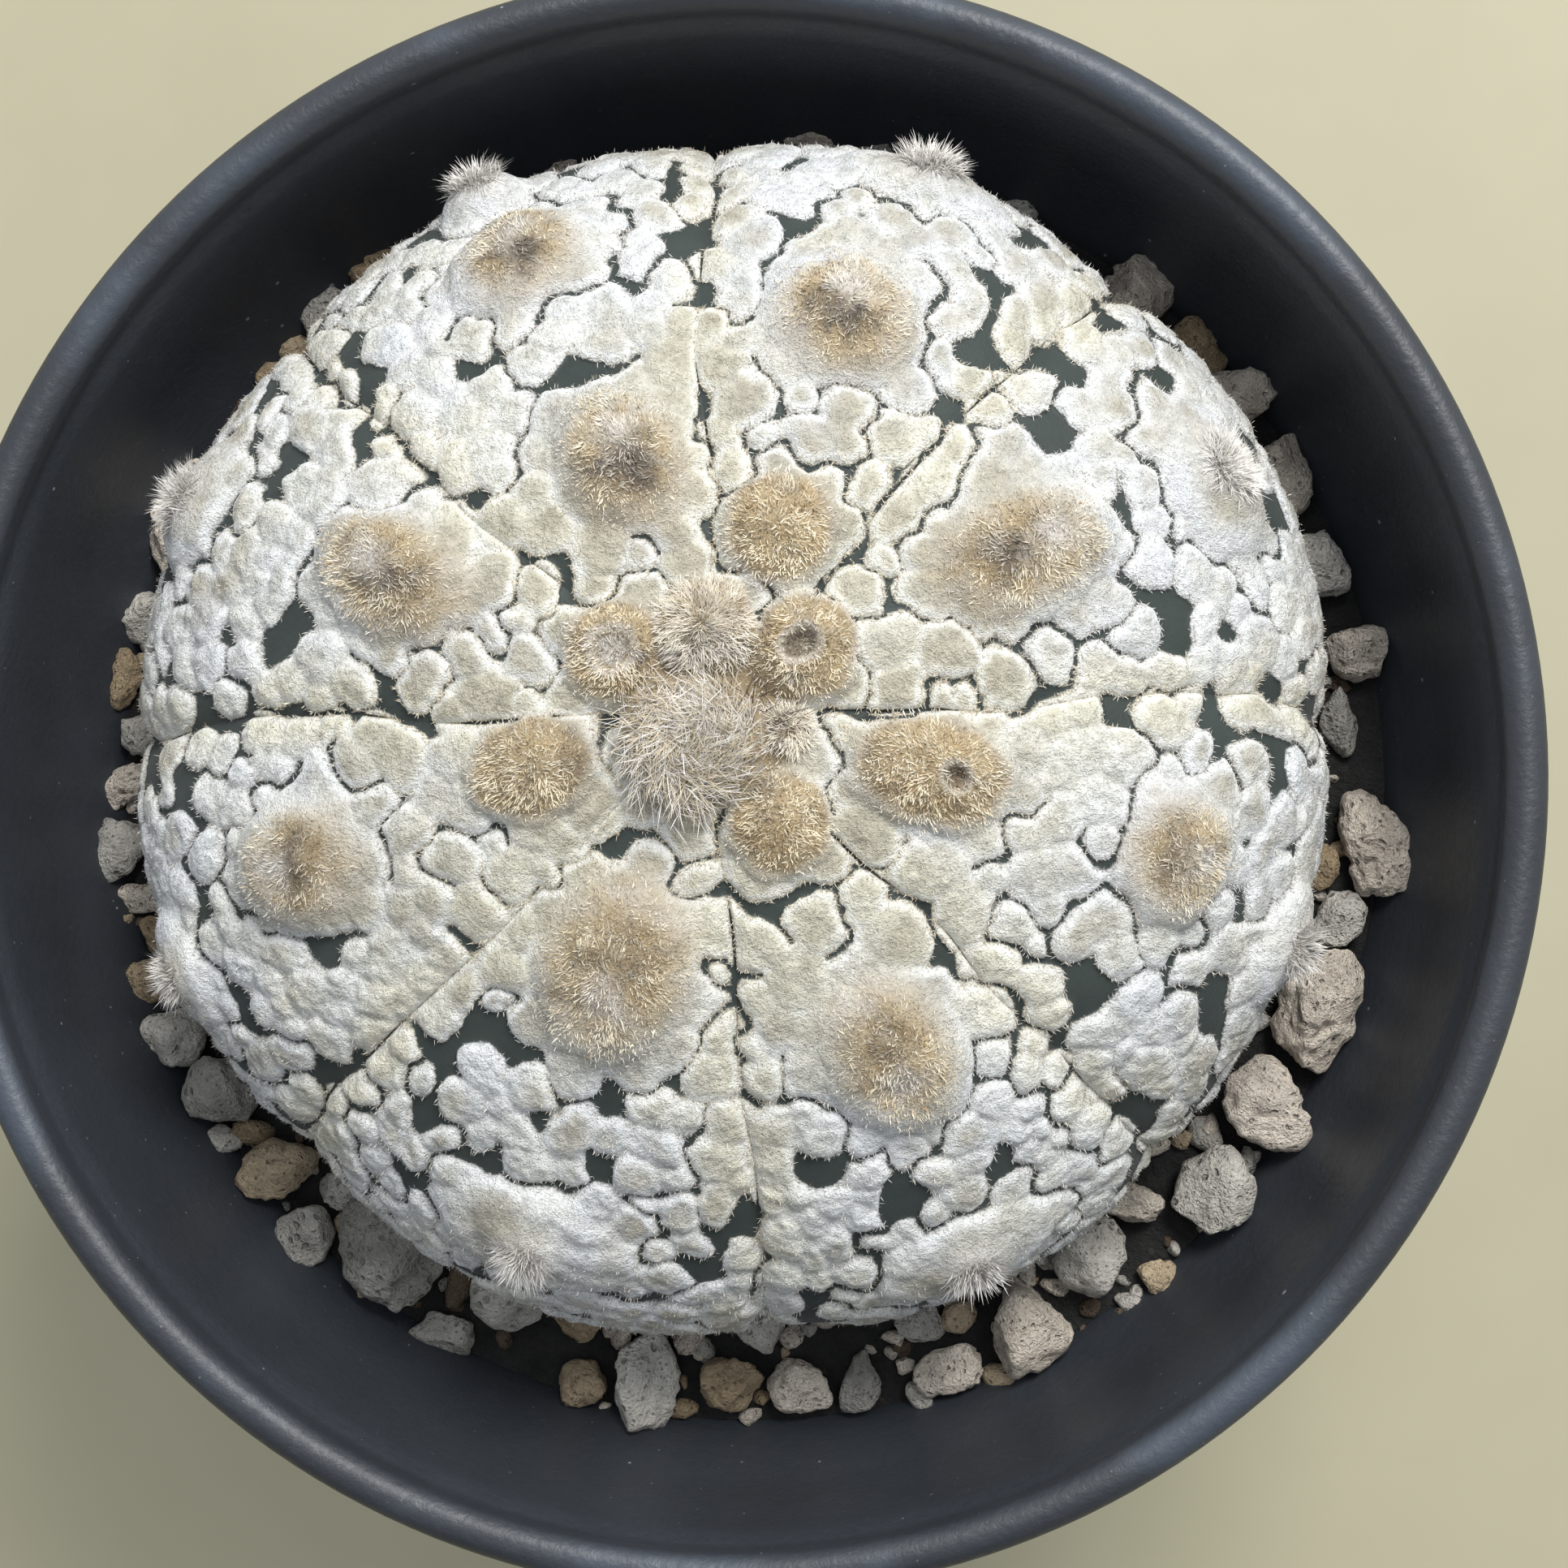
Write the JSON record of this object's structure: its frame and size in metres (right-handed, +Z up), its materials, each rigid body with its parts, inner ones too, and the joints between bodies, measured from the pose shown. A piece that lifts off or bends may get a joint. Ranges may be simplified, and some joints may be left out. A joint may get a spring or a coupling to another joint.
{
  "type": "potted star cactus",
  "caption": "Flattened ribbed star cactus with woolly felt, growing in a round plastic pot topped with crushed pumice and stones.",
  "frame": {"origin": "centre of the pot's foot ring, on the surface that the pot stands on", "axes": "+Z up along the pot's axis; +X to the right and +Y away from the viewer, as seen by someone looking down at the plant"},
  "size_m": [0.14, 0.14, 0.1152],
  "materials": {
    "pot_plastic": "matte blue-black plastic, faintly scuffed and dusty",
    "potting_mix": "loose dark gritty potting mix",
    "cactus_felt": "dark grey-green skin almost covered by white felt, with ochre wool on the areoles",
    "pale_pumice": "dry porous pale pumice",
    "grey_stone": "dry matte grey pumice and stone",
    "ochre_stone": "dry fired clay grain, ochre",
    "bark": "dry dark bark"
  },
  "bodies": {
    "root": {"pot": "pot_plastic", "potting_mix": "potting_mix", "cactus_body": "cactus_felt", "stone_01": "grey_stone", "stone_02": "pale_pumice", "stone_03": "grey_stone", "stone_04": "pale_pumice", "stone_05": "pale_pumice", "stone_06": "ochre_stone", "stone_07": "pale_pumice", "stone_08": "grey_stone", "stone_09": "grey_stone", "stone_10": "pale_pumice", "stone_11": "grey_stone", "stone_12": "pale_pumice", "stone_13": "grey_stone", "stone_14": "ochre_stone", "stone_15": "grey_stone", "stone_16": "ochre_stone", "stone_17": "ochre_stone", "stone_18": "pale_pumice", "stone_19": "grey_stone", "stone_20": "ochre_stone", "stone_21": "grey_stone", "stone_22": "pale_pumice", "stone_23": "grey_stone", "stone_24": "pale_pumice", "stone_25": "ochre_stone", "stone_26": "ochre_stone", "stone_27": "grey_stone", "stone_28": "grey_stone", "stone_29": "grey_stone", "stone_30": "ochre_stone", "stone_31": "grey_stone", "stone_32": "grey_stone", "stone_33": "grey_stone", "stone_34": "grey_stone", "stone_35": "grey_stone", "stone_36": "ochre_stone", "stone_37": "ochre_stone", "stone_38": "grey_stone", "stone_39": "ochre_stone", "stone_40": "pale_pumice", "stone_41": "grey_stone", "stone_42": "grey_stone", "stone_43": "pale_pumice", "stone_44": "pale_pumice", "stone_45": "grey_stone", "stone_46": "ochre_stone", "stone_47": "pale_pumice", "stone_48": "grey_stone", "stone_49": "pale_pumice", "stone_50": "pale_pumice", "stone_51": "grey_stone", "stone_52": "ochre_stone", "stone_53": "pale_pumice", "stone_54": "grey_stone", "bark_chip_1": "bark", "bark_chip_2": "bark", "bark_chip_3": "bark"}
  },
  "joints": []
}
